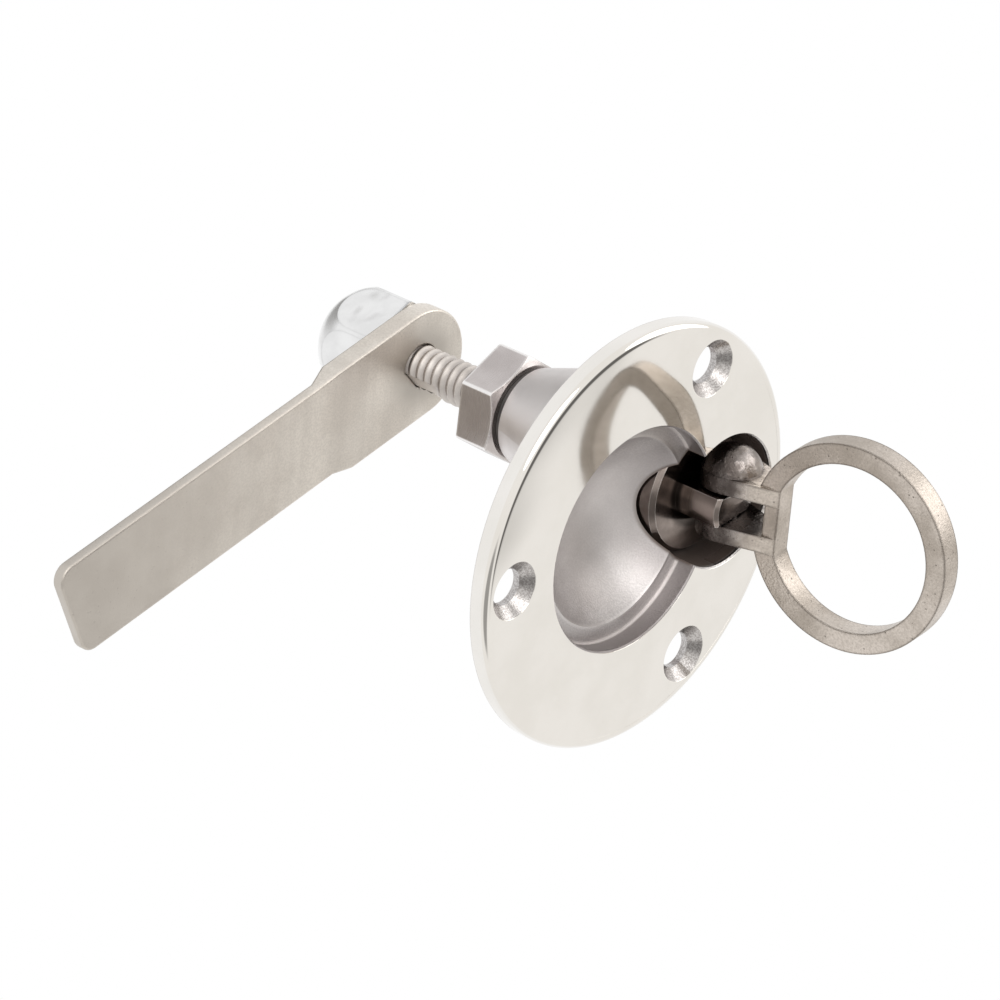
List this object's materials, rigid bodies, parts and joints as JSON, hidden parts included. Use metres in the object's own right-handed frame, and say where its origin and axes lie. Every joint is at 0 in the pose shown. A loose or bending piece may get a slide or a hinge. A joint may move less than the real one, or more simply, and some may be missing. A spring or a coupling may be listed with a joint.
{
  "type": "hatch lift ring latch",
  "caption": "Flush hatch latch: a folding pull ring in a round recessed flange lifts the hatch and turns a spindle that swings a cam arm under the frame.",
  "frame": {"origin": "centre of the flange on its seating face", "axes": "+Z out of the hatch, +X from the spindle axis towards the ring dish"},
  "size_m": [0.1007, 0.075, 0.1339],
  "materials": {
    "polished_flange": "mirror-polished cast stainless steel",
    "machined_steel": "turned stainless steel",
    "bearing_plastic": "natural acetal",
    "black_rubber": "matt black",
    "satin_nut": "satin stainless steel",
    "blasted_steel": "bead-blasted cast stainless steel",
    "bright_chrome": "bright polished stainless steel"
  },
  "bodies": {
    "flange": {"flange_body": "polished_flange", "head_washer": "bearing_plastic"},
    "spindle": {"spindle": "machined_steel", "seal_ring": "black_rubber", "thrust_washer": "black_rubber", "retaining_nut": "satin_nut", "cam_arm": "blasted_steel", "dome_nut": "bright_chrome", "hinge_pin": "machined_steel"},
    "ring": {"pull_ring": "blasted_steel"}
  },
  "joints": [
    {"name": "spindle_turn", "type": "hinge", "parent": "flange", "child": "spindle", "pos_m": [-0.0224, 0, 0], "axis": [0, 0, 1], "range_deg": [0, 360]},
    {"name": "ring_fold", "type": "hinge", "parent": "spindle", "child": "ring", "pos_m": [-0.0239, 0, 0.0029], "axis": [0, 1, 0], "range_deg": [0, 98]}
  ]
}
